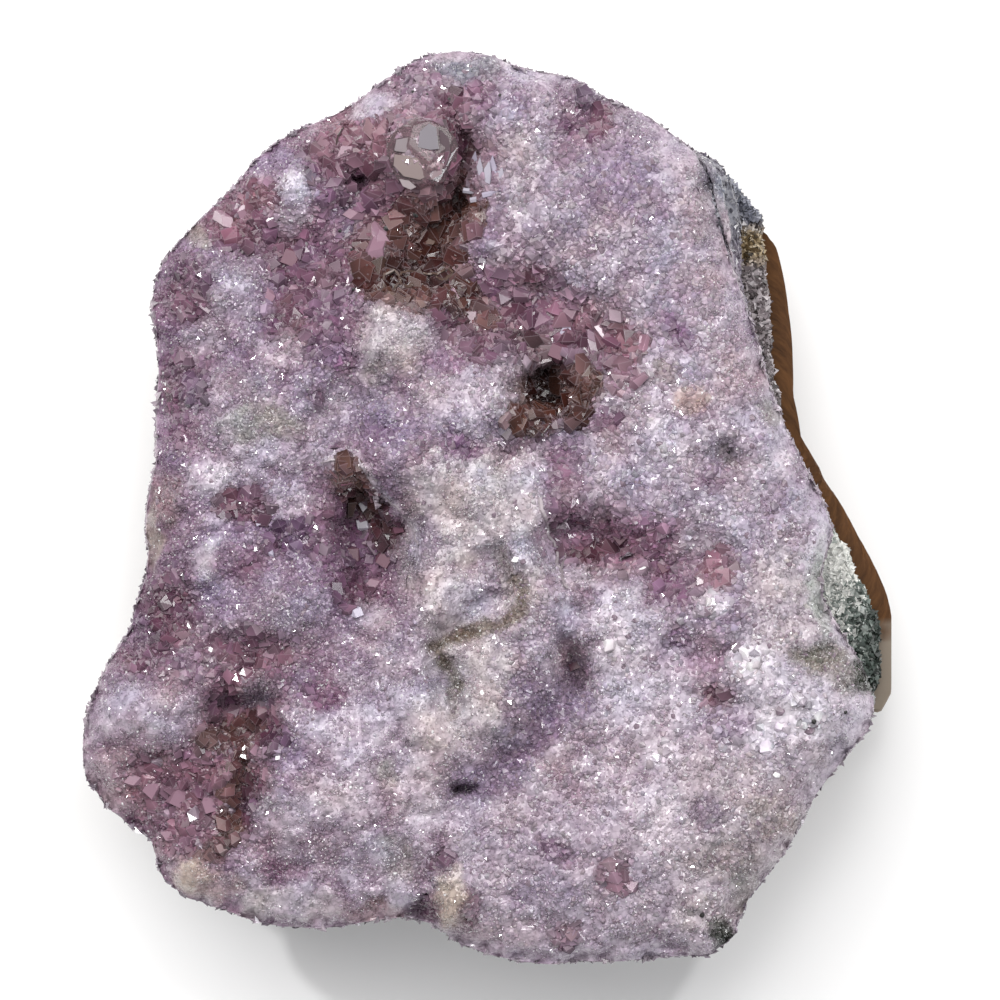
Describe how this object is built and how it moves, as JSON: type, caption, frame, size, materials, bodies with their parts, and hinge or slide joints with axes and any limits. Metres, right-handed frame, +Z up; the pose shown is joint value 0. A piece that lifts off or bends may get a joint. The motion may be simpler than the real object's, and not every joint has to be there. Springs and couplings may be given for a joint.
{
  "type": "amethyst cluster",
  "caption": "Palm-sized piece of pale purple quartz druse with lumps, ridges and darker hollows, on a thin dark grainy matrix and a brown rind with a flat facet underneath.",
  "frame": {"origin": "under the middle of the piece, on the flat facet of the rind that it rests on", "axes": "+Z up, out of the crystal face; +Y along the length, towards the narrower end; +X across the width, towards the side where the matrix and the rind show"},
  "size_m": [0.0814, 0.0916, 0.0364],
  "materials": {
    "crust": "gloss",
    "matrix": "matte",
    "rind": "satin"
  },
  "bodies": {
    "root": {"amethyst_crust": "crust", "dark_matrix": "matrix", "brown_rind": "rind"}
  },
  "joints": []
}
